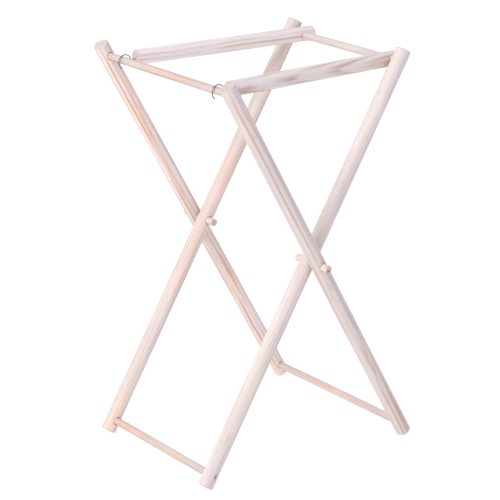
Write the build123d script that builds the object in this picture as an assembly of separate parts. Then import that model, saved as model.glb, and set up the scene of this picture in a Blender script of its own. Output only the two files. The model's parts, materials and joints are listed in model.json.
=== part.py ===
"""Folding X-frame stand of round wooden dowels, for drying or hanging clothes or a bag.

Two X-shaped sides are joined by thin cross rods.  Two thick bars lie along the top: each turns
on the inner frame's top rod and ends in a wire cup hook that catches the outer frame's top rod,
which holds the X open.

Millimetres.  +X is the way the X opens and the bars run, from their hooks to their hinges.
+Y runs along the rods and pins, +Z is up.  Left is the +Y side and right the -Y side, as seen
from the hook end.  The origin is on the floor, at the middle of the stand's box.
"""

from build123d import *
import math
import os

# --- Driving dimensions -------------------------------------------------------------------

LEG_DIAMETER = 25.4
ROD_DIAMETER = 12.7
LEG_ABOVE_PIVOT = {
    ("outer", "left"): 375.4,
    ("outer", "right"): 368.4,
    ("inner", "left"): 375.8,
    ("inner", "right"): 374.2,
}
LEG_BELOW_PIVOT = {"outer": 390.6, "inner": 396.2}
CROSSING_ANGLE = 61.26  # between the outer and the inner legs when open, degrees
OUTER_LEG_Y = 166.4  # leg axis to the middle plane
LEG_GAP = 2.2  # free space between an outer and an inner leg

TOP_ROD_ABOVE_PIVOT = {"outer": 352.7, "inner": 354.2}
BOTTOM_ROD_BELOW_PIVOT = {"outer": 369.8, "inner": 375.8}
ROD_SEAT_PAST_AXIS = 6.3  # a rod's blind hole goes this far past the leg's axis
RUNNING_CLEARANCE = 0.05  # radial, where a rod or pin turns in its hole

PIN_PROUD_OUTSIDE = 12.8
PIN_PROUD_INSIDE = {"left": 15.0, "right": 12.6}

BAR_END_FROM_ROD = 22.6  # free end of a bar to the axis of the rod that its hook catches
BAR_PAST_HINGE = 24.4
# Each bar's axis at its hinge and where it would cross the hooked rod: distance from the
# middle plane, then height over that rod's axis.
BAR_HINGE_Y = {"left": 111.0, "right": 111.8}
BAR_HINGE_RISE = {"left": 0.0, "right": -1.9}
BAR_HOOK_Y = {"left": 116.3, "right": 132.0}
BAR_HOOK_RISE = {"left": 2.9, "right": -0.9}

HOOK_WIRE = 1.8
HOOK_RADIUS = 11.6  # wire centre line
HOOK_BEND_RADIUS = 4.0
HOOK_CENTRE_DROP = 2.2  # cup centre below the shank
HOOK_CENTRE_INSET = 1.5  # cup centre from the caught rod's axis, towards the bar
HOOK_TIP_ANGLE = 60.0  # where the cup ends, below the level of its centre
HOOK_SCREW_LENGTH = 16.0
HOOK_POINT_LENGTH = 4.0

BRAD_SHANK = 1.3
BRAD_HEAD = 2.4
BRAD_HEAD_THICKNESS = 0.7
BRAD_LENGTH = 20.0

LEG_EDGE = 1.2
BAR_EDGE = 1.0
PIN_EDGE = 0.9
ROD_EDGE = 0.5
FOOT_FLAT = 0.6  # depth worn off each foot's lowest edge

# --- Derived dimensions -------------------------------------------------------------------

LEG_RADIUS = LEG_DIAMETER / 2
ROD_RADIUS = ROD_DIAMETER / 2
INNER_LEG_Y = OUTER_LEG_Y - LEG_DIAMETER - LEG_GAP
LEG_Y = {"outer": OUTER_LEG_Y, "inner": INNER_LEG_Y}
SIDE_SIGN = {"left": 1, "right": -1}

# The legs lean so that all four rounded lower edges stand at one level.
LEG_CORE = LEG_RADIUS - LEG_EDGE
OUTER_CORE = LEG_BELOW_PIVOT["outer"] - LEG_EDGE
INNER_CORE = LEG_BELOW_PIVOT["inner"] - LEG_EDGE
CROSSING_SINE = math.sin(math.radians(CROSSING_ANGLE))
CROSSING_COSINE = math.cos(math.radians(CROSSING_ANGLE))
INNER_LEAN = math.atan2(
    INNER_CORE - OUTER_CORE * CROSSING_COSINE - LEG_CORE * CROSSING_SINE,
    OUTER_CORE * CROSSING_SINE - LEG_CORE * CROSSING_COSINE - LEG_CORE,
)
# The outer frame leans with its top towards -X, the inner frame towards +X.
LEAN = {"outer": INNER_LEAN - math.radians(CROSSING_ANGLE), "inner": INNER_LEAN}

FOOT_DROP = INNER_CORE * math.cos(INNER_LEAN) + LEG_CORE * math.sin(INNER_LEAN) + LEG_EDGE
FOOT_REACH = INNER_CORE * math.sin(INNER_LEAN) + LEG_CORE * math.cos(INNER_LEAN) + LEG_EDGE
PIVOT_Z = FOOT_DROP - FOOT_FLAT
# The pivot's X puts the stand's box, from the inner feet to the bars' hinge ends, about X = 0.
BAR_REACH = TOP_ROD_ABOVE_PIVOT["inner"] * math.sin(INNER_LEAN) + BAR_PAST_HINGE
PIVOT_X = (FOOT_REACH - BAR_REACH) / 2


def frame_point(frame, along, y):
    """Point of a frame at a distance along its legs, measured up from the pivot."""
    lean = LEAN[frame]
    return Vector(PIVOT_X + along * math.sin(lean), y, PIVOT_Z + along * math.cos(lean))


def top_rod_at(frame, y):
    return frame_point(frame, TOP_ROD_ABOVE_PIVOT[frame], y)


def rod_levels(frame):
    """How far up from the pivot a frame's two rods lie."""
    return {"top": TOP_ROD_ABOVE_PIVOT[frame], "bottom": -BOTTOM_ROD_BELOW_PIVOT[frame]}


# --- Basic shapes -------------------------------------------------------------------------


def dowel(start, end, diameter, edge):
    """Round dowel from start to end with both end edges rounded."""
    axis = Vector(end) - Vector(start)
    rod = Cylinder(diameter / 2, axis.length, align=(Align.CENTER, Align.CENTER, Align.MIN))
    rod = fillet(rod.edges().filter_by(GeomType.CIRCLE), edge)
    return Plane(origin=start, z_dir=axis) * rod


def drill(start, end, radius):
    """The cylinder that a drill takes out between two points."""
    axis = Vector(end) - Vector(start)
    cutter = Cylinder(radius, axis.length, align=(Align.CENTER, Align.CENTER, Align.MIN))
    return Plane(origin=start, z_dir=axis) * cutter


def brad(head_point, inward):
    """Small nail whose head lies flush at head_point and whose shank runs inward."""
    flush = (Align.CENTER, Align.CENTER, Align.MIN)
    head = Cylinder(BRAD_HEAD / 2, BRAD_HEAD_THICKNESS, align=flush)
    shank = Cylinder(BRAD_SHANK / 2, BRAD_LENGTH, align=flush)
    return Plane(origin=head_point, z_dir=inward) * (head + shank)


# --- Rods, pins and their brads -----------------------------------------------------------


def cross_rod(frame, along):
    """Thin rod between a frame's two legs, seated in a blind hole in each."""
    reach = LEG_Y[frame] + ROD_SEAT_PAST_AXIS
    left_end = frame_point(frame, along, reach)
    right_end = frame_point(frame, along, -reach)
    return dowel(right_end, left_end, ROD_DIAMETER, ROD_EDGE)


def rod_brad(frame, along, side):
    """Brad through a leg's outer wall into the end of a cross rod."""
    sign = SIDE_SIGN[side]
    crown = frame_point(frame, along, sign * (LEG_Y[frame] + LEG_RADIUS))
    return brad(crown, Vector(0, -sign, 0))


def pivot_pin(side):
    """Short pin through an outer and an inner leg, standing proud at both ends."""
    sign = SIDE_SIGN[side]
    outside = sign * (OUTER_LEG_Y + LEG_RADIUS + PIN_PROUD_OUTSIDE)
    inside = sign * (INNER_LEG_Y - LEG_RADIUS - PIN_PROUD_INSIDE[side])
    start = frame_point("outer", 0, outside)
    end = frame_point("outer", 0, inside)
    return dowel(start, end, ROD_DIAMETER, PIN_EDGE)


def pin_brad(side):
    """Brad that fixes a pivot pin in its outer leg, driven from the leg's upper side."""
    centre = frame_point("outer", 0, SIDE_SIGN[side] * OUTER_LEG_Y)
    outward = Vector(math.cos(LEAN["outer"]), 0, -math.sin(LEAN["outer"]))
    return brad(centre + outward * LEG_RADIUS, outward * -1)


# --- Legs ---------------------------------------------------------------------------------


def leg(frame, side, brads):
    """One leg with its blind rod holes, pivot hole, brad holes and foot flat."""
    sign = SIDE_SIGN[side]
    y = sign * LEG_Y[frame]
    top = frame_point(frame, LEG_ABOVE_PIVOT[frame, side], y)
    foot = frame_point(frame, -LEG_BELOW_PIVOT[frame], y)
    body = dowel(foot, top, LEG_DIAMETER, LEG_EDGE)

    for along in rod_levels(frame).values():
        mouth = frame_point(frame, along, sign * (LEG_Y[frame] - LEG_DIAMETER))
        bottom = frame_point(frame, along, sign * (LEG_Y[frame] + ROD_SEAT_PAST_AXIS))
        body -= drill(mouth, bottom, ROD_RADIUS)

    pin_radius = ROD_RADIUS if frame == "outer" else ROD_RADIUS + RUNNING_CLEARANCE
    before = frame_point(frame, 0, y - LEG_DIAMETER)
    after = frame_point(frame, 0, y + LEG_DIAMETER)
    body -= drill(before, after, pin_radius)

    for nail in brads:
        body -= nail
    below_floor = Pos(foot.X, y, 0) * Box(
        LEG_DIAMETER * 4, LEG_DIAMETER * 2, LEG_DIAMETER, align=(Align.CENTER, Align.CENTER, Align.MAX)
    )
    return body - below_floor


# --- Hanging bars and hooks ---------------------------------------------------------------


def bar_axis(side):
    """Points on a bar's axis: at its hinge, and straight over the hooked rod."""
    sign = SIDE_SIGN[side]
    hooked = top_rod_at("outer", 0)
    hinge = top_rod_at("inner", 0)
    at_hinge = Vector(hinge.X, sign * BAR_HINGE_Y[side], hinge.Z + BAR_HINGE_RISE[side])
    at_hook = Vector(hooked.X, sign * BAR_HOOK_Y[side], hooked.Z + BAR_HOOK_RISE[side])
    return at_hinge, at_hook


def hook_plane(side):
    """Upright plane of a hook: x away from the bar, y up, origin where the shank leaves."""
    at_hinge, at_hook = bar_axis(side)
    away = (at_hook - at_hinge).normalized()
    hooked = top_rod_at("outer", 0)
    face = at_hook - away * BAR_END_FROM_ROD
    level_away = Vector(away.X, away.Y, 0).normalized()
    sideways = level_away.cross(Vector(0, 0, 1))
    return Plane(origin=(face.X, face.Y, hooked.Z), x_dir=level_away, z_dir=sideways)


def cup_hook(side):
    """Wire hook: pointed screw shank, a small bend up, then a cup over the rod."""
    turn = math.acos((HOOK_BEND_RADIUS + HOOK_CENTRE_DROP) / (HOOK_BEND_RADIUS + HOOK_RADIUS))
    centre = Vector(BAR_END_FROM_ROD - HOOK_CENTRE_INSET, -HOOK_CENTRE_DROP)
    cup_start = 90 + math.degrees(turn)
    bend_start = centre.X - (HOOK_RADIUS + HOOK_BEND_RADIUS) * math.sin(turn)

    shank = Line((-HOOK_SCREW_LENGTH, 0), (bend_start, 0))
    bend = CenterArc((bend_start, HOOK_BEND_RADIUS), HOOK_BEND_RADIUS, -90, math.degrees(turn))
    cup = CenterArc(centre, HOOK_RADIUS, cup_start, -cup_start - HOOK_TIP_ANGLE)
    path = Wire([shank, bend, cup])
    section = Plane(origin=path @ 0, z_dir=path % 0) * Circle(HOOK_WIRE / 2)
    wire = sweep(section, path=path)

    wide_end = Plane(origin=(-HOOK_SCREW_LENGTH, 0, 0), z_dir=(-1, 0, 0))
    point = Cone(
        HOOK_WIRE / 2, HOOK_WIRE / 8, HOOK_POINT_LENGTH, align=(Align.CENTER, Align.CENTER, Align.MIN)
    )
    return hook_plane(side) * (wire + wide_end * point)


def hanging_bar(side, hook):
    """Thick bar with its cross hole for the inner top rod and the hook's screw hole."""
    at_hinge, at_hook = bar_axis(side)
    away = (at_hook - at_hinge).normalized()
    free_end = at_hook - away * BAR_END_FROM_ROD
    hinge_end = at_hinge - away * BAR_PAST_HINGE
    body = dowel(hinge_end, free_end, LEG_DIAMETER, BAR_EDGE)

    y = SIDE_SIGN[side] * BAR_HINGE_Y[side]
    before = top_rod_at("inner", y - LEG_DIAMETER)
    after = top_rod_at("inner", y + LEG_DIAMETER)
    body -= drill(before, after, ROD_RADIUS + RUNNING_CLEARANCE)
    return body - hook


# --- Assembly -----------------------------------------------------------------------------


def build_nodes():
    nodes = {}
    for frame in ("outer", "inner"):
        levels = rod_levels(frame)
        rods = {level: cross_rod(frame, along) for level, along in levels.items()}
        for side in ("left", "right"):
            nails = {level: rod_brad(frame, along, side) for level, along in levels.items()}
            for level, nail in nails.items():
                rods[level] -= nail
                nodes[f"brad_{frame}_{level}_{side}"] = nail
            fixing = list(nails.values())
            if frame == "outer":
                lock = pin_brad(side)
                nodes[f"brad_pin_{side}"] = lock
                nodes[f"pivot_pin_{side}"] = pivot_pin(side) - lock
                fixing.append(lock)
            nodes[f"leg_{frame}_{side}"] = leg(frame, side, fixing)
        for level, rod in rods.items():
            nodes[f"{level}_rod_{frame}"] = rod
    for side in ("left", "right"):
        hook = cup_hook(side)
        nodes[f"cup_hook_{side}"] = hook
        nodes[f"hanging_bar_{side}"] = hanging_bar(side, hook)
    return nodes


if __name__ == "__main__":
    os.makedirs("parts", exist_ok=True)
    for name, shape in build_nodes().items():
        export_step(shape, f"parts/{name}.step")
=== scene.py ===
"""Looks of the folding dowel stand: drilled wooden dowels, wire hooks and brads, with
procedural pine and steel, studio light and camera.

Metres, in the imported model's frame.  Every wooden piece is built along its own dowel's axis,
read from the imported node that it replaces, so the grain follows the piece.
"""

import json
import math

import bmesh
import bpy
import numpy as np
from mathutils import Matrix, Vector, noise


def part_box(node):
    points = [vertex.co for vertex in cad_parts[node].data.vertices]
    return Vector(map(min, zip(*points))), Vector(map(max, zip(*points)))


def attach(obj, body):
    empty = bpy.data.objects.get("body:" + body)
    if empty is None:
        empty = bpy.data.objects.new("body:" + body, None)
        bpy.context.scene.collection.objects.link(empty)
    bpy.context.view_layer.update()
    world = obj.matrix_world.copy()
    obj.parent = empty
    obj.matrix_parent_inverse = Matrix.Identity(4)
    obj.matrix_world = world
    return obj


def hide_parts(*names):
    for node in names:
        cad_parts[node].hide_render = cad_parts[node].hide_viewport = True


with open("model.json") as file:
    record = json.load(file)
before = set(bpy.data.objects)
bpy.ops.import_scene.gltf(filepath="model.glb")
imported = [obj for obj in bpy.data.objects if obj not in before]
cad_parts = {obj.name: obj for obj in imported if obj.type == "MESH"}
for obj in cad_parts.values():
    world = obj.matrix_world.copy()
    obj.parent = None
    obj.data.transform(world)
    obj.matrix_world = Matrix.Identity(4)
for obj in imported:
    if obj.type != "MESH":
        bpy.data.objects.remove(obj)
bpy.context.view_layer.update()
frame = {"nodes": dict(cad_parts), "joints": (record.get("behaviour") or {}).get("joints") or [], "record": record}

MM = 0.001

# Dowels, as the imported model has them.
LEG_RADIUS = 12.7 * MM
ROD_RADIUS = 6.35 * MM
ROD_SEAT = 6.3 * MM

# How finely the dowels are meshed, and what hands and tools did to them.
SEGMENTS_THICK = 72
SEGMENTS_THIN = 48
RING_STEP = 3.0 * MM
EDGE_STEPS = 5
LEG_EDGE = 1.5 * MM
BAR_EDGE = 2.2 * MM
PIN_EDGE = 1.1 * MM
ROD_EDGE = 0.5 * MM
END_RINGS = (0.8, 0.6, 0.4, 0.2)
SANDING_WAVE = 0.10 * MM
WAVE_SHARE_OF_EDGE = 0.3
WAVES_ROUND = 1.3
WAVES_ALONG = 22.0
SEED_ACROSS = 0.7

# Drilled holes: each rim flares a little, where the bit tore it.
HOLE_SEGMENTS = 48
HOLE_EASE = 0.12 * MM
RIM_FLARE = 0.8 * MM
RIM_DEPTH = 2.5 * MM

# A block under the floor, as wide as it is deep, that cuts each foot flat.
BLOCK = 0.1

# Wire cup hooks.
HOOK_WIRE = 1.8 * MM
HOOK_RADIUS = 11.6 * MM
HOOK_BEND = 4.0 * MM
HOOK_DROP = 2.2 * MM
HOOK_INSET = 1.5 * MM
HOOK_TIP_ANGLE = 60.0
HOOK_SCREW = 16.0 * MM
HOOK_POINT = 4.0 * MM
POINT_SIZE = 0.25
ROUND_TIP = 0.6
LEAST_TIP = 0.02
BAR_END_FROM_ROD = 22.6 * MM
WIRE_SEGMENTS = 20
SHANK_STEPS = 6
BEND_STEPS = 9
CUP_STEPS = 60
TIP_STEPS = 4

# Brads.
BRAD_HEAD = 2.4 * MM
BRAD_SHANK = 1.3 * MM
BRAD_LENGTH = 20.0 * MM
BRAD_THICKNESS = 0.7 * MM
BRAD_NECK = 0.3 * MM
BRAD_TIP = 2.5 * MM
BRAD_SEGMENTS = 24
RUSTY_BRAD = "brad_inner_bottom_right"

# Widest angle, in degrees, that still shades smooth.
SMOOTH_WOOD = 32.0
SMOOTH_BRAD = 40.0
SMOOTH_HOOK = 50.0

SIDES = ("left", "right")
SIGN = {"left": 1, "right": -1}


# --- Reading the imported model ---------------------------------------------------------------

# How much of each end gives a dowel's axis, and how often the direction is found again.
AXIS_END = 4 * MM
AXIS_PASSES = 3
# Any direction that no dowel lies along.
ASIDE = (0.0, 0.3, 1.0)


def vertices(node):
    mesh = frame["nodes"][node].data
    points = np.empty(len(mesh.vertices) * 3)
    mesh.vertices.foreach_get("co", points)
    return points.reshape(-1, 3)


def slice_middle(points, direction, low, high):
    """Middle of a dowel's cross-section, from its points between two places on its axis."""
    along = points @ direction
    part = points[(along >= low) & (along <= high)]
    side = np.cross(direction, ASIDE)
    side /= np.linalg.norm(side)
    other = np.cross(direction, side)
    u, v = part @ side, part @ other
    middle = side * (u.min() + u.max()) / 2 + other * (v.min() + v.max()) / 2
    return middle + direction * (low + high) / 2


def dowel_axis(node, rough):
    """Start and end of a dowel's axis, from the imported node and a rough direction."""
    points = vertices(node)
    direction = np.array(rough, float)
    direction /= np.linalg.norm(direction)
    for _ in range(AXIS_PASSES):
        along = points @ direction
        low, high = along.min(), along.max()
        first = slice_middle(points, direction, low, low + AXIS_END)
        last = slice_middle(points, direction, high - AXIS_END, high)
        direction = (last - first) / np.linalg.norm(last - first)
    along = points @ direction
    start = first + direction * (along.min() - first @ direction)
    end = last + direction * (along.max() - last @ direction)
    return Vector(start), Vector(end)


def middle_of(node):
    low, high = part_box(node)
    return (Vector(low) + Vector(high)) / 2


def joint_place(name):
    for joint in frame["joints"]:
        if joint["name"] == name:
            return Vector(joint["pos_m"])
    raise ValueError(name)


def rod_place(kind, level):
    """Where a cross rod's axis passes through the stand's middle plane."""
    place = middle_of(f"{level}_rod_{kind}")
    return Vector((place.x, 0, place.z))


bodies = frame["record"]["behaviour"]["bodies"]
bodies_of = {node: body for body, members in bodies.items() for node in members}
pivot = joint_place("fold")
hinge = joint_place("left_bar_swing")


# --- Shader nodes ---------------------------------------------------------------------------


class Nodes:
    """A node tree under construction, with short calls for the nodes it uses."""

    def __init__(self, tree):
        self.tree = tree

    def node(self, kind, **settings):
        made = self.tree.nodes.new(kind)
        for key, value in settings.items():
            setattr(made, key, value)
        return made

    def feed(self, socket, value):
        if isinstance(value, bpy.types.NodeSocket):
            self.tree.links.new(value, socket)
        else:
            socket.default_value = value

    def math(self, operation, first, second=0.0):
        made = self.node("ShaderNodeMath", operation=operation)
        self.feed(made.inputs[0], first)
        self.feed(made.inputs[1], second)
        return made.outputs[0]

    def vector(self, operation, first, second=(0.0, 0.0, 0.0)):
        made = self.node("ShaderNodeVectorMath", operation=operation)
        self.feed(made.inputs[0], first)
        self.feed(made.inputs[1], second)
        is_number = operation in ("LENGTH", "DOT_PRODUCT")
        return made.outputs["Value" if is_number else "Vector"]

    def times(self, colour, factor):
        """A colour or vector times one number."""
        made = self.node("ShaderNodeVectorMath", operation="SCALE")
        self.feed(made.inputs[0], colour)
        self.feed(made.inputs["Scale"], factor)
        return made.outputs["Vector"]

    def noise(self, place, scale, detail, roughness=0.5, output="Fac"):
        """Noise whose scale may differ along each axis."""
        made = self.node("ShaderNodeTexNoise")
        self.feed(made.inputs["Vector"], self.vector("MULTIPLY", place, scale))
        self.feed(made.inputs["Scale"], 1.0)
        self.feed(made.inputs["Detail"], detail)
        self.feed(made.inputs["Roughness"], roughness)
        return made.outputs[output]

    def sway(self, place, scale, detail, reach):
        """Vector noise about zero, made as large as reach says."""
        cloud = self.noise(place, scale, detail, output="Color")
        return self.vector("MULTIPLY", self.vector("SUBTRACT", cloud, (0.5, 0.5, 0.5)), reach)

    def remap(self, value, low, high, to_low=0.0, to_high=1.0, smooth=True):
        made = self.node("ShaderNodeMapRange")
        made.interpolation_type = "SMOOTHSTEP" if smooth else "LINEAR"
        for socket, number in zip(made.inputs[:5], (value, low, high, to_low, to_high)):
            self.feed(socket, number)
        return made.outputs["Result"]

    def mix(self, factor, first, second, blend="MIX"):
        made = self.node("ShaderNodeMix", data_type="RGBA", blend_type=blend)
        self.feed(made.inputs["Factor"], factor)
        self.feed(made.inputs["A"], first)
        self.feed(made.inputs["B"], second)
        return made.outputs["Result"]


class Shader(Nodes):
    """A material under construction."""

    def __init__(self, name):
        self.material = bpy.data.materials.new(name)
        self.material.use_nodes = True
        super().__init__(self.material.node_tree)
        self.surface = self.tree.nodes["Principled BSDF"]

    def solid_place(self):
        """Place in the piece's own frame, millimetres, with Z along the stick or wire."""
        made = self.node("ShaderNodeAttribute", attribute_name="solid_place")
        return made.outputs["Vector"]

    def give(self, name, value):
        self.feed(self.surface.inputs[name], value)

    def relief(self, height, strength, distance):
        made = self.node("ShaderNodeBump")
        self.feed(made.inputs["Strength"], strength)
        self.feed(made.inputs["Distance"], distance)
        self.feed(made.inputs["Height"], height)
        self.give("Normal", made.outputs["Normal"])


def srgb(red, green, blue):
    """Linear colour from a display colour, 0 to 255."""

    def linear(channel):
        value = channel / 255
        return value / 12.92 if value <= 0.04045 else ((value + 0.055) / 1.055) ** 2.4

    return (linear(red), linear(green), linear(blue), 1.0)


# --- Pine -----------------------------------------------------------------------------------

# How each stick was sawn from its board.  turn: degrees about its axis that bring its growth
# rings square to local X; pith: millimetres from the axis to the tree's centre; slope: how fast
# the rings drift across the stick along its length; spacing: millimetres between rings; dark:
# how far from the axis the darkest ring lies, if one stands out; line: how dark late wood is;
# warmth: how orange the wood is; tone: its brightness; seed: where it lies in the noise.
GRAIN_FIELDS = ("turn", "pith", "slope", "spacing", "dark", "line", "warmth", "tone", "seed")
GRAIN_ROWS = {
    "leg_outer_left": (296, (46, 4), 0.002, 7.5, -2.0, 1.0, 0.85, 1.08, 11),
    "leg_outer_right": (294, (60, 0), 0.001, 8.5, 0.5, 0.7, 0.45, 0.93, 23),
    "leg_inner_left": (132, (70, 6), 0.003, 4.4, None, 0.6, 0.75, 0.97, 37),
    "leg_inner_right": (138, (80, 0), 0.002, 4.0, None, 0.55, 0.35, 0.96, 41),
    "hanging_bar_left": (246, (55, 3), 0.003, 7.5, -4.5, 0.75, 0.15, 1.05, 53),
    "hanging_bar_right": (10, (30, 5), -0.052, 5.5, None, 0.8, 0.25, 0.98, 67),
    "top_rod_outer": (240, (50, 0), 0.006, 3.6, None, 0.8, 0.7, 0.78, 71),
    "top_rod_inner": (250, (55, 4), 0.010, 3.8, None, 0.5, 0.35, 0.86, 83),
    "bottom_rod_outer": (245, (48, 2), 0.006, 3.4, None, 0.9, 0.9, 0.90, 97),
    "bottom_rod_inner": (240, (44, 4), 0.006, 3.6, None, 0.9, 1.0, 0.88, 103),
    "pivot_pin_left": (0, (40, 0), 0.02, 3.0, None, 0.5, 0.8, 0.95, 109),
    "pivot_pin_right": (80, (38, 0), 0.02, 3.0, None, 0.6, 1.2, 1.0, 127),
}
GRAIN = {node: dict(zip(GRAIN_FIELDS, row)) for node, row in GRAIN_ROWS.items()}

# Heartwood patches, pitch stains, peach-coloured places and painted shade, grey on lit tops and the far pin and
# brown in two shaded spots:
# middle in the stick's own frame and half sizes, both in millimetres, strength, and colour.
STAINS_AND_PAINTED_SHADE = {
    "leg_outer_left": [
        ((11.5, -1.5, 268.0), (6.0, 6.0, 62.0), 0.55, "heartwood"),
        ((10.8, -5.6, 500.0), (4.5, 4.5, 200.0), 0.50, "heartwood"),
        ((9.0, -9.0, 60.0), (7.0, 7.0, 70.0), 0.35, "heartwood"),
        # grey painted shade over the top end, which the key lights
        ((0.0, 0.0, 775.0), (22.0, 22.0, 34.0), 0.65, "grey_painted_shade"),
    ],
    "leg_outer_right": [
        ((12.0, -3.0, 185.0), (5.5, 5.5, 75.0), 0.45, "heartwood"),
        ((11.8, 2.6, 38.0), (7.0, 7.0, 110.0), 0.60, "heartwood"),
    ],
    "leg_inner_right": [
        # darker streak along the leg's right edge near the foot, the side turned from the key: painted shade in
        # heartwood colour
        ((-8.5, -9.4, 60.0), (4.5, 4.5, 160.0), 0.45, "heartwood"),
        # grey painted shade over the top end, which the key lights
        ((0.0, 0.0, 770.0), (22.0, 22.0, 70.0), 0.50, "grey_painted_shade"),
        ((-12.6, 0.0, 20.4), (4.0, 4.0, 9.0), 0.75, "pitch"),
        ((-9.0, 8.5, 84.0), (4.0, 4.0, 22.0), 0.30, "heartwood"),
    ],
    "leg_inner_left": [
        # grey painted shade over the top end, which the key lights
        ((0.0, 0.0, 770.0), (22.0, 22.0, 60.0), 0.45, "grey_painted_shade"),
        ((-8.0, 8.5, 30.0), (12.0, 12.0, 90.0), 0.45, "peach"),
        ((-9.5, 6.5, 470.0), (9.0, 9.0, 260.0), 0.28, "peach"),
    ],
    "hanging_bar_right": [
        # darker patch at the hook end beside the outer right leg: partly heartwood, partly painted contact shadow
        # where it meets the leg
        ((12.0, -1.0, 335.0), (6.0, 6.0, 26.0), 0.60, "heartwood"),
        ((12.4, 1.6, 46.0), (6.5, 6.5, 36.0), 0.50, "rust"),
    ],
    "bottom_rod_inner": [
        ((2.0, 1.0, 262.0), (9.0, 9.0, 125.0), 0.75, "salmon"),
        ((0.0, 0.0, 322.0), (9.0, 9.0, 22.0), 0.60, "rust"),
    ],
    "top_rod_outer": [
        ((2.0, 1.0, 150.0), (11.0, 11.0, 200.0), 0.20, "salmon"),
    ],
    "bottom_rod_outer": [
        ((2.0, 1.0, 170.0), (10.0, 10.0, 200.0), 0.35, "salmon"),
    ],
    "top_rod_inner": [
        ((5.0, 2.0, 60.0), (5.0, 5.0, 50.0), 0.30, "heartwood"),
    ],
    "pivot_pin_left": [
        # grey painted shade over the whole far pin, which sits between the legs
        ((0.0, 0.0, 0.0), (9.0, 9.0, 16.0), 0.75, "grey_painted_shade"),
        ((2.0, 3.0, 0.0), (3.0, 1.2, 3.0), 0.55, "heartwood"),
    ],
    "pivot_pin_right": [
        ((0.0, 0.0, 6.0), (12.0, 12.0, 20.0), 0.80, "peach"),
        ((1.0, -1.5, 0.0), (5.5, 4.5, 2.6), 0.90, "pitch"),
    ],
}
STAIN_AND_PAINTED_SHADE_COLOURS = {
    "heartwood": srgb(176, 122, 94),
    "pitch": srgb(112, 72, 52),
    "rust": srgb(206, 138, 102),
    "salmon": srgb(226, 164, 138),
    # grey painted shade, for lit tops and the far pin
    "grey_painted_shade": srgb(190, 178, 180),
    "peach": srgb(238, 200, 168),
}
# Where each stain and painted shade patch starts to fade, as a share of its half size; how fibres break it up.
STAIN_CORE = 0.25
STAIN_FIBRES = (0.35, 0.62, 0.35, 1.0)

PALE_WOOD = srgb(223, 216, 213)
WARM_WOOD = srgb(227, 204, 188)
PINK_WOOD = srgb(213, 204, 208)
LATE_WOOD = srgb(188, 148, 124)
RESIN = srgb(150, 110, 90)
END_SHADE = srgb(205, 186, 180)
FIBRE_SHADE = srgb(182, 160, 152)

# How far a seed moves a stick through the noise along each axis.
SEED_STEPS = (3.1, 1.7, 11.3)

# Noise scales, per millimetre across the stick twice and then along it.
DRIFT_SCALE = (0.016, 0.016, 0.005)
WOBBLE_SCALE = (0.09, 0.09, 0.012)
PATCH_SCALE = (0.11, 0.11, 0.006)
WARM_SCALE = (0.05, 0.05, 0.007)
PINK_SCALE = (0.035, 0.035, 0.010)
FIBRE_SCALE = (1.9, 1.9, 0.035)
END_FIBRE_SCALE = (0.35, 0.35, 0.35)
FLECK_SCALE = (1.3, 1.3, 0.06)

# How far the rings bend, in millimetres: slow drift and small wobble.
DRIFT = (7.0, 7.0, 0.0)
WOBBLE = (1.3, 1.3, 0.0)

# One year's ring, from 0 to 1: it darkens slowly to late wood and ends quickly.
LATE_START = 0.20
LATE_PEAK = 0.84
LATE_POWER = 1.6
# A ring that stands out: how near it and how far from it, in spacings, the others fade, and
# what is left of them.
RING_NEAR = 0.35
RING_FAR = 1.3
RING_LEFT = 0.42

# Ranges: noise from and to, then what they become.
PATCH_RANGE = (0.38, 0.62, 0.10, 1.0)
PINK_RANGE = (0.45, 0.68, 0.0, 0.6)
FIBRE_RANGE = (0.28, 0.72, 0.0, 0.30)
FLECK_RANGE = (0.70, 0.78, 0.0, 0.55)
GLOSS_RANGE = (0.3, 0.7, 0.66, 0.52)
WARM_NOISE = (0.38, 0.66)
LEAST_WARMTH = 0.35

# End grain against side grain: darker rings, and a duller, darker colour that is partly end grain and partly
# painted shade on the tops and rims that the key lights.
END_LINE = 1.15
END_DULL = 0.45
END_TONE_AND_PAINTED_SHADE = 0.84

PINE_SHINE = 0.32
FIBRE_HEIGHT = 0.6
RING_HEIGHT = 0.5
PINE_RELIEF = (0.35, 0.15 * MM)


def ring_place(make, place, shifted):
    """Place in the solid, bent as the tree bent its rings."""
    drift = make.sway(shifted, DRIFT_SCALE, detail=2.0, reach=DRIFT)
    wobble = make.sway(shifted, WOBBLE_SCALE, detail=3.0, reach=WOBBLE)
    return make.vector("ADD", make.vector("ADD", place, drift), wobble)


def from_pith(make, grain, bent):
    """Distance from the tree's centre, in millimetres."""
    turned = make.node("ShaderNodeVectorRotate", rotation_type="Z_AXIS")
    make.feed(turned.inputs["Vector"], bent)
    make.feed(turned.inputs["Angle"], math.radians(grain["turn"]))
    parts = make.node("ShaderNodeSeparateXYZ")
    make.feed(parts.inputs[0], turned.outputs[0])
    lean = make.math("MULTIPLY", parts.outputs["Z"], grain["slope"])
    across = make.math("ADD", make.math("ADD", parts.outputs["X"], grain["pith"][0]), lean)
    beside = make.math("ADD", parts.outputs["Y"], grain["pith"][1])
    squared = make.math("ADD", make.math("POWER", across, 2.0), make.math("POWER", beside, 2.0))
    return make.math("POWER", squared, 0.5)


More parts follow.
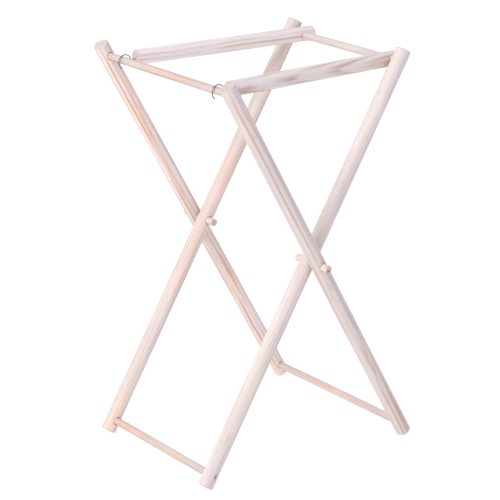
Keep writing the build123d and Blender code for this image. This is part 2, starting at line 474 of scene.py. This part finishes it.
def rings(make, grain, radius, shifted, end_grain):
    """Late wood from 0 to 1, and how dark its line is drawn there."""
    spacing = grain["spacing"]
    darkest = grain["pith"][0] + (grain["dark"] or 0.0)
    offset = LATE_PEAK - darkest / spacing
    year = make.math("FRACT", make.math("ADD", make.math("DIVIDE", radius, spacing), offset))
    rise = make.remap(year, LATE_START, LATE_PEAK)
    fall = make.remap(year, LATE_PEAK, 1.0, 1.0, 0.0)
    late = make.math("MULTIPLY", make.math("POWER", rise, LATE_POWER), fall)

    strength = make.remap(make.noise(shifted, PATCH_SCALE, detail=2.0), *PATCH_RANGE)
    darkness = grain["line"] * (END_LINE if end_grain else 1.0)
    line = make.math("MULTIPLY", make.math("MULTIPLY", late, strength), darkness)
    if grain["dark"] is not None:
        away = make.math("ABSOLUTE", make.math("SUBTRACT", radius, darkest))
        chosen = make.remap(away, RING_NEAR * spacing, RING_FAR * spacing, 1.0, RING_LEFT)
        line = make.math("MULTIPLY", line, chosen)
    return late, line


# Mixes in the stains and the painted shade patches.
def stain_and_paint_shade(make, node, colour, bent, fibre):
    for middle, half_sizes, amount, mark_kind in STAINS_AND_PAINTED_SHADE.get(node, ()):
        reach = make.vector("DIVIDE", make.vector("SUBTRACT", bent, middle), half_sizes)
        mask = make.remap(make.vector("LENGTH", reach), STAIN_CORE, 1.0, amount, 0.0)
        mask = make.math("MULTIPLY", mask, make.remap(fibre, *STAIN_FIBRES))
        colour = make.mix(mask, colour, STAIN_AND_PAINTED_SHADE_COLOURS[mark_kind])
    return colour


def pine(node, end_grain=False):
    """Sanded raw pine: growth rings in the solid, fibres, resin flecks, stains, painted shade and bump."""
    make = Shader(f"pine_end_{node}" if end_grain else f"pine_{node}")
    grain = GRAIN[node]
    place = make.solid_place()
    shifted = make.vector("ADD", place, [grain["seed"] * step for step in SEED_STEPS])
    bent = ring_place(make, place, shifted)
    radius = from_pith(make, grain, bent)
    late, line = rings(make, grain, radius, shifted, end_grain)

    warmth = grain["warmth"]
    warm = make.noise(shifted, WARM_SCALE, detail=3.0)
    warm = make.remap(warm, *WARM_NOISE, warmth * LEAST_WARMTH, warmth)
    rosy = make.remap(make.noise(shifted, PINK_SCALE, detail=2.0), *PINK_RANGE)
    colour = make.mix(warm, PALE_WOOD, WARM_WOOD)
    colour = make.mix(rosy, colour, PINK_WOOD)
    colour = make.mix(line, colour, LATE_WOOD)

    fibre_scale = END_FIBRE_SCALE if end_grain else FIBRE_SCALE
    fibre = make.noise(shifted, fibre_scale, detail=4.0, roughness=0.62)
    tint = make.remap(fibre, *FIBRE_RANGE, smooth=False)
    colour = make.mix(tint, colour, END_SHADE if end_grain else FIBRE_SHADE, "MULTIPLY")
    flecks = make.remap(make.noise(shifted, FLECK_SCALE, detail=1.0), *FLECK_RANGE)
    colour = make.mix(flecks, colour, RESIN)
    if end_grain:
        colour = make.mix(END_DULL, colour, END_SHADE)
    colour = stain_and_paint_shade(make, node, colour, bent, fibre)
    tone = grain["tone"] * (END_TONE_AND_PAINTED_SHADE if end_grain else 1.0)
    make.give("Base Color", make.times(colour, tone))

    make.give("Roughness", make.remap(fibre, *GLOSS_RANGE, smooth=False))
    make.give("Specular IOR Level", PINE_SHINE)
    fibre_height = make.math("MULTIPLY", fibre, FIBRE_HEIGHT)
    ring_height = make.math("MULTIPLY", late, RING_HEIGHT)
    make.relief(make.math("ADD", fibre_height, ring_height), *PINE_RELIEF)
    return make.material


# Drilled holes are painted dark brown: painted shade for the hole's recess and its flared rim.
BORE_PAINTED_SHADE_DARK = srgb(132, 76, 50)
BORE_PAINTED_SHADE_PALE = srgb(186, 138, 112)
TORN_SCALE = (0.9, 0.9, 0.9)
TORN_NOISE = (0.38, 0.66)
BORE_ROUGHNESS = 0.8
BORE_SHINE = 0.2
BORE_RELIEF = (0.6, 0.2 * MM)


def bored_painted_shade(name):
    """Wall and rim of a drilled hole: dark brown painted shade, mottled with torn fibres round the bit's path."""
    make = Shader(name)
    torn = make.noise(make.solid_place(), TORN_SCALE, detail=4.0, roughness=0.6)
    make.give("Base Color", make.mix(make.remap(torn, *TORN_NOISE), BORE_PAINTED_SHADE_DARK, BORE_PAINTED_SHADE_PALE))
    make.give("Roughness", BORE_ROUGHNESS)
    make.give("Specular IOR Level", BORE_SHINE)
    make.relief(torn, *BORE_RELIEF)
    return make.material


# --- Steel ----------------------------------------------------------------------------------

CLOUD_SCALE = (0.35, 0.35, 0.35)
CLOUD_NOISE = (0.35, 0.65)
GRIT_SCALE = (4.0, 4.0, 4.0)
GRIT_NOISE = (0.3, 0.7)
UNEVEN_GLOSS = 0.18
STEEL_RELIEF = (0.3, 0.03 * MM)


def steel(name, base, worn, roughness, seed):
    """Dull wire or nail steel: cloudy oxide, fine grit, uneven gloss."""
    make = Shader(name)
    place = make.vector("ADD", make.solid_place(), (seed, seed * 2.0, seed * 3.0))
    cloud = make.noise(place, CLOUD_SCALE, detail=4.0)
    grit = make.noise(place, GRIT_SCALE, detail=2.0)
    make.give("Base Color", make.mix(make.remap(cloud, *CLOUD_NOISE), base, worn))
    make.give("Metallic", 1.0)
    gloss = make.remap(grit, *GRIT_NOISE, roughness, roughness + UNEVEN_GLOSS)
    make.give("Roughness", gloss)
    make.relief(grit, *STEEL_RELIEF)
    return make.material


# --- Meshes ---------------------------------------------------------------------------------


def new_object(name, form, place, materials):
    mesh = bpy.data.meshes.new(name)
    bmesh.ops.recalc_face_normals(form, faces=form.faces)
    form.to_mesh(mesh)
    form.free()
    made = bpy.data.objects.new(name, mesh)
    made.matrix_world = place
    bpy.context.scene.collection.objects.link(made)
    for material in materials:
        mesh.materials.append(material)
    return made


def settle(piece, node, angle):
    """Ends a piece: keeps each point's own place for its grain, then lays it in the row frame."""
    mesh = piece.data
    own = np.empty(len(mesh.vertices) * 3)
    mesh.vertices.foreach_get("co", own)
    kept = mesh.attributes.new("solid_place", "FLOAT_VECTOR", "POINT")
    kept.data.foreach_set("vector", own / MM)
    mesh.transform(piece.matrix_world)
    piece.matrix_world = Matrix.Identity(4)
    mesh.shade_smooth()
    mesh.set_sharp_from_angle(angle=math.radians(angle))
    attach(piece, bodies_of[node])
    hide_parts(node)


def standing(start, way):
    """Matrix that lays local Z along a direction from a point."""
    turn = way.normalized().to_track_quat("Z", "Y").to_matrix().to_4x4()
    return Matrix.Translation(start) @ turn


def around(segments):
    turns = [2 * math.pi * k / segments for k in range(segments)]
    return [(math.cos(turn), math.sin(turn)) for turn in turns]


def bridge(form, low, high, slot=0):
    """Faces between two rings of equally many points."""
    for k in range(len(low)):
        after = (k + 1) % len(low)
        face = form.faces.new((low[k], low[after], high[after], high[k]))
        face.material_index = slot


def tube(form, circles):
    """Closed tube through rings of points."""
    for low, high in zip(circles, circles[1:]):
        bridge(form, low, high)
    form.faces.new(circles[0][::-1])
    form.faces.new(circles[-1])


def profile(length, radius, edge):
    """Stations along a dowel: its place on the axis and its radius, ends rounded over."""
    rounded = []
    for i in range(EDGE_STEPS, -1, -1):
        angle = math.pi / 2 * i / EDGE_STEPS
        rounded.append((edge * (1 - math.sin(angle)), radius - edge * (1 - math.cos(angle))))
    count = max(2, round((length - 2 * edge) / RING_STEP))
    straight = [(edge + (length - 2 * edge) * i / count, radius) for i in range(1, count)]
    return rounded + straight + [(length - place, size) for place, size in rounded[::-1]]


def turned_dowel(name, start, end, radius, edge, segments, materials, seed):
    """Dowel from start to end: eased ends, slight waves from sanding, flat sawn end faces."""
    form = bmesh.new()
    circles = []
    wave = min(SANDING_WAVE, edge * WAVE_SHARE_OF_EDGE)
    shift = Vector((seed, seed * SEED_ACROSS, 0))
    for place, size in profile((end - start).length, radius, edge):
        circle = []
        for x, y in around(segments):
            at = Vector((x * WAVES_ROUND, y * WAVES_ROUND, place * WAVES_ALONG)) + shift
            sanded = size - wave * abs(noise.noise(at))
            circle.append(form.verts.new(Vector((x, y, 0)) * sanded + Vector((0, 0, place))))
        circles.append(circle)
    bands = len(circles) - 1
    for i, (low, high) in enumerate(zip(circles, circles[1:])):
        # Rounded-over rims take the end-grain material: exposed end grain, and painted shade on rims the key
        # lights.
        rim_end_grain_and_painted_shade = i < EDGE_STEPS or i >= bands - EDGE_STEPS
        bridge(form, low, high, 1 if rim_end_grain_and_painted_shade else 0)
    cap_end(form, circles[0], True)
    cap_end(form, circles[-1], False)
    return new_object(name, form, standing(start, end - start), materials)


def cap_end(form, rim, flip):
    """Sawn end face: rings of faces that shrink to the middle, in the end-grain material."""
    middle = sum((v.co for v in rim), Vector()) / len(rim)
    outer = rim
    for share in END_RINGS:
        inner = [form.verts.new(middle.lerp(v.co, share)) for v in rim]
        for k in range(len(rim)):
            after = (k + 1) % len(rim)
            corners = (outer[k], outer[after], inner[after], inner[k])
            form.faces.new(corners[::-1] if flip else corners).material_index = 1
        outer = inner
    centre = form.verts.new(middle)
    for k in range(len(rim)):
        corners = (outer[k], outer[(k + 1) % len(rim)], centre)
        form.faces.new(corners[::-1] if flip else corners).material_index = 1


def lathe(form, stations, segments, place):
    """Closed solid of revolution about its local Z, added to form."""
    circles = []
    for height, size in stations:
        points = [Vector((size * x, size * y, height)) for x, y in around(segments)]
        circles.append([form.verts.new(place @ point) for point in points])
    tube(form, circles)


def drill(form, mouth, bottom, rims):
    """One hole's cutter, from mouth to bottom.

    rims says how far along it the wood starts and, if the hole goes through, where it ends.
    """
    radius = ROD_RADIUS + HOLE_EASE
    way = bottom - mouth
    goes_through = len(rims) > 1
    stations = [(0.0, radius + RIM_FLARE), (rims[0], radius + RIM_FLARE)]
    stations.append((rims[0] + RIM_DEPTH, radius))
    if goes_through:
        stations += [(rims[1] - RIM_DEPTH, radius), (rims[1], radius + RIM_FLARE)]
    stations.append((way.length, radius + (RIM_FLARE if goes_through else 0.0)))
    lathe(form, stations, HOLE_SEGMENTS, standing(mouth, way))


def cut_away(piece, holes, foot=False):
    """Cuts drill holes, and the flat that a foot stands on."""
    form = bmesh.new()
    for hole in holes:
        drill(form, *hole)
    if foot:
        low = piece.matrix_world @ Vector((0, 0, 0))
        below = Matrix.Translation((low.x, low.y, -BLOCK / 2)) @ Matrix.Scale(BLOCK, 4)
        bmesh.ops.create_cube(form, size=1.0, matrix=below)
    cutter = new_object("cutter", form, Matrix.Identity(4), [bored_wood_painted_shade])
    cut = piece.modifiers.new("holes", "BOOLEAN")
    cut.operation = "DIFFERENCE"
    cut.solver = "EXACT"
    cut.material_mode = "TRANSFER"
    cut.object = cutter
    bpy.context.view_layer.update()
    shown = piece.evaluated_get(bpy.context.evaluated_depsgraph_get())
    mesh = bpy.data.meshes.new_from_object(shown)
    piece.modifiers.clear()
    piece.data = mesh
    bpy.data.objects.remove(cutter)


def wire(name, path, radius, place, material):
    """Round wire along a flat path of points, each with its share of the wire's radius."""
    form = bmesh.new()
    circles = []
    side = Vector((0, 0, 1))
    for i, (point, size) in enumerate(path):
        before = path[max(i - 1, 0)][0]
        after = path[min(i + 1, len(path) - 1)][0]
        other = (after - before).normalized().cross(side)
        ways = [side * x + other * y for x, y in around(WIRE_SEGMENTS)]
        circles.append([form.verts.new(point + way * size * radius) for way in ways])
    tube(form, circles)
    return new_object(name, form, place, [material])


# --- Pieces ---------------------------------------------------------------------------------


def build_dowel(node, start, end, radius, edge, segments):
    materials = [pine(node), pine(node, end_grain=True), bored_wood_painted_shade]
    seed = GRAIN[node]["seed"]
    return turned_dowel(f"wood_{node}", start, end, radius, edge, segments, materials, seed)


def through_hole(place, y):
    """Hole along Y through a thick dowel whose axis it crosses at y."""
    before = Vector((place.x, y - 2 * LEG_RADIUS, place.z))
    after = Vector((place.x, y + 2 * LEG_RADIUS, place.z))
    return before, after, (LEG_RADIUS, 3 * LEG_RADIUS)


def build_leg(kind, side):
    node = f"leg_{kind}_{side}"
    top, bottom = rod_place(kind, "top"), rod_place(kind, "bottom")
    start, end = dowel_axis(node, top - bottom)
    piece = build_dowel(node, start, end, LEG_RADIUS, LEG_EDGE, SEGMENTS_THICK)
    sign = SIGN[side]
    holes = []
    for place in (top, bottom):
        mouth = Vector((place.x, start.y - sign * 2 * LEG_RADIUS, place.z))
        seat = Vector((place.x, start.y + sign * ROD_SEAT, place.z))
        holes.append((mouth, seat, (LEG_RADIUS,)))
    holes.append(through_hole(pivot, start.y))
    cut_away(piece, holes, foot=True)
    settle(piece, node, SMOOTH_WOOD)


def build_bar(side):
    node = f"hanging_bar_{side}"
    start, end = dowel_axis(node, (-1, 0, 0))
    piece = build_dowel(node, start, end, LEG_RADIUS, BAR_EDGE, SEGMENTS_THICK)
    way = (end - start).normalized()
    y = (start + way * ((hinge.x - start.x) / way.x)).y
    cut_away(piece, [through_hole(hinge, y)])
    settle(piece, node, SMOOTH_WOOD)
    build_hook(side, end, way)


def on_circle(middle, radius, angle):
    return middle + Vector((math.cos(angle), math.sin(angle), 0)) * radius


def hook_path():
    """Hook in its own plane: X away from the bar's end face, Y up, the rod's axis at Y zero."""
    reach = HOOK_RADIUS + HOOK_BEND
    turn = math.acos((HOOK_BEND + HOOK_DROP) / reach)
    middle = Vector((BAR_END_FROM_ROD - HOOK_INSET, -HOOK_DROP, 0))
    bend_start = middle.x - reach * math.sin(turn)
    screw_end = Vector((-HOOK_SCREW, 0, 0))
    path = [(screw_end - Vector((HOOK_POINT, 0, 0)), POINT_SIZE), (screw_end, 1.0)]
    for i in range(SHANK_STEPS):
        path.append((Vector((bend_start * i / SHANK_STEPS, 0, 0)), 1.0))
    for i in range(BEND_STEPS + 1):
        angle = turn * i / BEND_STEPS
        x = bend_start + HOOK_BEND * math.sin(angle)
        path.append((Vector((x, HOOK_BEND * (1 - math.cos(angle)), 0)), 1.0))
    first, last = math.pi / 2 + turn, -math.radians(HOOK_TIP_ANGLE)
    round_tip = ROUND_TIP * HOOK_WIRE / 2 / HOOK_RADIUS
    for i in range(1, CUP_STEPS + 1):
        angle = first + (last + round_tip - first) * i / CUP_STEPS
        path.append((on_circle(middle, HOOK_RADIUS, angle), 1.0))
    for i in range(1, TIP_STEPS + 1):
        share = i / TIP_STEPS
        angle = last + round_tip * (1 - share)
        size = math.sqrt(max(LEAST_TIP, 1 - share**2))
        path.append((on_circle(middle, HOOK_RADIUS, angle), size))
    return path


def build_hook(side, face, way):
    """Cup hook: screw point inside the bar, straight shank, small bend up, cup over the rod."""
    node = f"cup_hook_{side}"
    away = Vector((way.x, way.y, 0)).normalized()
    up = Vector((0, 0, 1))
    rod = rod_place("outer", "top")
    turned = Matrix((away, up, away.cross(up))).transposed().to_4x4()
    place = Matrix.Translation((face.x, face.y, rod.z)) @ turned
    piece = wire(f"wire_{node}", hook_path(), HOOK_WIRE / 2, place, hook_steel)
    settle(piece, node, SMOOTH_HOOK)


def build_rod(node, edge):
    start, end = dowel_axis(node, (0, 1, 0))
    piece = build_dowel(node, start, end, ROD_RADIUS, edge, SEGMENTS_THIN)
    settle(piece, node, SMOOTH_WOOD)


def brad_stations():
    """Places along a brad and its radius there: domed head, plain shank, sharp point."""
    head, shank = BRAD_HEAD / 2, BRAD_SHANK / 2
    return [
        (-0.22 * MM, head * 0.25),
        (-0.16 * MM, head * 0.6),
        (-0.02 * MM, head * 0.9),
        (0.12 * MM, head),
        (BRAD_THICKNESS * 0.7, head),
        (BRAD_THICKNESS, head * 0.8),
        (BRAD_THICKNESS + BRAD_NECK, shank),
        (BRAD_LENGTH - BRAD_TIP, shank),
        (BRAD_LENGTH, shank * 0.15),
    ]


def build_brad(node, inward):
    head, tip = dowel_axis(node, inward)
    form = bmesh.new()
    lathe(form, brad_stations(), BRAD_SEGMENTS, Matrix.Identity(4))
    metal = rusty_steel if node == RUSTY_BRAD else nail_steel
    piece = new_object(f"nail_{node}", form, standing(head, tip - head), [metal])
    settle(piece, node, SMOOTH_BRAD)


bored_wood_painted_shade = bored_painted_shade("bored_wood_painted_shade")
hook_steel = steel("hook_steel", srgb(104, 101, 106), srgb(156, 153, 156), roughness=0.34, seed=3.0)
nail_steel = steel("nail_steel", srgb(196, 182, 174), srgb(222, 210, 204), roughness=0.42, seed=8.0)
rusty_steel = steel("rusty_steel", srgb(96, 76, 64), srgb(140, 118, 104), roughness=0.5, seed=8.0)

for kind in ("outer", "inner"):
    for side in SIDES:
        build_leg(kind, side)
        for level in ("top", "bottom"):
            build_brad(f"brad_{kind}_{level}_{side}", (0, -SIGN[side], 0))
    for level in ("top", "bottom"):
        build_rod(f"{level}_rod_{kind}", ROD_EDGE)

outer_lean = (rod_place("outer", "top") - rod_place("outer", "bottom")).normalized()
for side in SIDES:
    build_bar(side)
    build_rod(f"pivot_pin_{side}", PIN_EDGE)
    build_brad(f"brad_pin_{side}", (-outer_lean.z, 0, outer_lean.x))


# --- Floor, light and camera ----------------------------------------------------------------

FLOOR_HALF = 30.0
FLOOR_DROP = 0.0003
FLOOR_SCALE = (0.8, 0.8, 0.8)
FLOOR_NOISE = (0.3, 0.7)
FLOOR_GREYS = (srgb(168, 168, 168), srgb(170, 170, 170))
FLOOR_ROUGHNESS = 0.9
FLOOR_GLOW = 0.70
WHITE = (1.0, 1.0, 1.0, 1.0)

# The studio is dimmer and cooler towards the stand's hinge side and front.
DIM_SIDE = (0.75, -0.55, -0.35)
SKY_BRIGHT = (1.16, 1.165, 1.155, 1.0)
SKY_DIM = (0.57, 0.575, 0.82, 1.0)

KEY_PLACE = (-2.5, -0.7, 2.65)
KEY_AIM = (0, 0, 0.35)
KEY_SIZE = 1.2
KEY_POWER = 58.0
KEY_COLOUR = (1.0, 0.985, 0.97)

CAMERA_PLACE = (-1.8595, -2.3783, 1.3513)
CAMERA_TURN = -37.941
CAMERA_TILT = 71.239
CAMERA_ROLL = 0.258
CAMERA_LENS = 138.18
CAMERA_SENSOR = 36.0
CAMERA_CLIP = (0.1, 100.0)


def floor_material():
    """Bright matt sweep, with the faintest clouds."""
    make = Shader("floor_white")
    here = make.node("ShaderNodeTexCoord").outputs["Object"]
    cloud = make.noise(here, FLOOR_SCALE, detail=2.0)
    make.give("Base Color", make.mix(make.remap(cloud, *FLOOR_NOISE), *FLOOR_GREYS))
    make.give("Roughness", FLOOR_ROUGHNESS)
    make.give("Specular IOR Level", 0.0)
    make.give("Emission Color", WHITE)
    make.give("Emission Strength", FLOOR_GLOW)
    return make.material


def turn_about(axis, degrees):
    return Matrix.Rotation(math.radians(degrees), 4, axis)


form = bmesh.new()
bmesh.ops.create_grid(form, x_segments=4, y_segments=4, size=FLOOR_HALF)
floor = new_object("floor", form, Matrix.Translation((0, 0, -FLOOR_DROP)), [floor_material()])

world = bpy.data.worlds.new("studio")
bpy.context.scene.world = world
world.use_nodes = True
sky = Nodes(world.node_tree)
direction = sky.node("ShaderNodeTexCoord").outputs["Generated"]
dimness = sky.remap(sky.vector("DOT_PRODUCT", direction, DIM_SIDE), -1.0, 1.0, smooth=False)
background = world.node_tree.nodes["Background"]
sky.feed(background.inputs["Color"], sky.mix(dimness, SKY_BRIGHT, SKY_DIM))

lamp = bpy.data.lights.new("key", "AREA")
lamp.shape = "DISK"
lamp.size = KEY_SIZE
lamp.energy = KEY_POWER
lamp.color = KEY_COLOUR
made = bpy.data.objects.new("key", lamp)
bpy.context.scene.collection.objects.link(made)
made.location = KEY_PLACE
made.rotation_mode = "QUATERNION"
made.rotation_quaternion = (Vector(KEY_AIM) - Vector(KEY_PLACE)).to_track_quat("-Z", "Y")

camera_data = bpy.data.cameras.new("camera")
camera_data.lens = CAMERA_LENS
camera_data.sensor_width = CAMERA_SENSOR
camera_data.clip_start, camera_data.clip_end = CAMERA_CLIP
camera = bpy.data.objects.new("camera", camera_data)
bpy.context.scene.collection.objects.link(camera)
aim = turn_about("Z", CAMERA_TURN) @ turn_about("X", CAMERA_TILT) @ turn_about("Z", CAMERA_ROLL)
camera.matrix_world = Matrix.Translation(CAMERA_PLACE) @ aim
bpy.context.scene.camera = camera
bpy.context.scene.view_settings.view_transform = "Standard"
